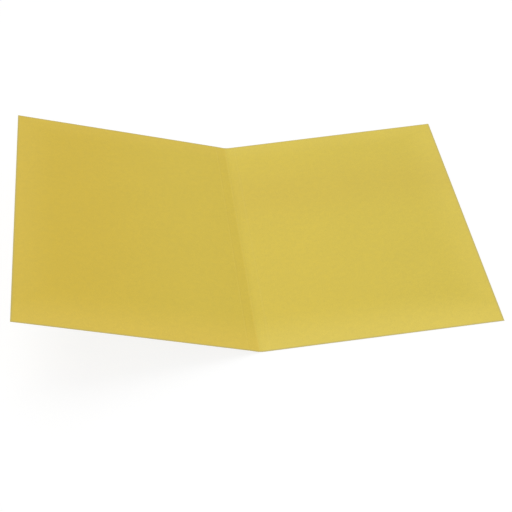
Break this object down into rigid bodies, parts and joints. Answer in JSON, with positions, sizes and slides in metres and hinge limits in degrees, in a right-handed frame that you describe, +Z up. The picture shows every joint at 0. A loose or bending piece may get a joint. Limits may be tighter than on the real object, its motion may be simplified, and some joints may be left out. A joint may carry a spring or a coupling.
{
  "type": "manila folder",
  "caption": "Plain square-cut document folder of creased card, whose front cover folds over loose papers laid on the back cover.",
  "frame": {"origin": "middle of the back cover's underside, which lies on the table", "axes": "+X from the crease across the back cover to its free edge, +Y along the crease, +Z up out of the back cover's inside face"},
  "size_m": [0.4706, 0.349, 0.0799],
  "materials": {
    "manila_card": "matte"
  },
  "bodies": {
    "back_cover": {"back_cover": "manila_card"},
    "crease": {"crease": "manila_card"},
    "front_cover": {"front_cover": "manila_card"}
  },
  "joints": [
    {"name": "back_fold_line", "type": "hinge", "parent": "back_cover", "child": "crease", "pos_m": [-0.12, 0, 0.00015], "axis": [0, 1, 0], "range_deg": [-9.6, 80.4]},
    {"name": "front_fold_line", "type": "hinge", "parent": "crease", "child": "front_cover", "pos_m": [-0.12197, 0, 0.00048], "axis": [0, 1, 0], "range_deg": [-9.6, 80.4]}
  ],
  "couplings": [
    {"joint": "front_fold_line", "follows": "back_fold_line", "ratio": 1}
  ]
}
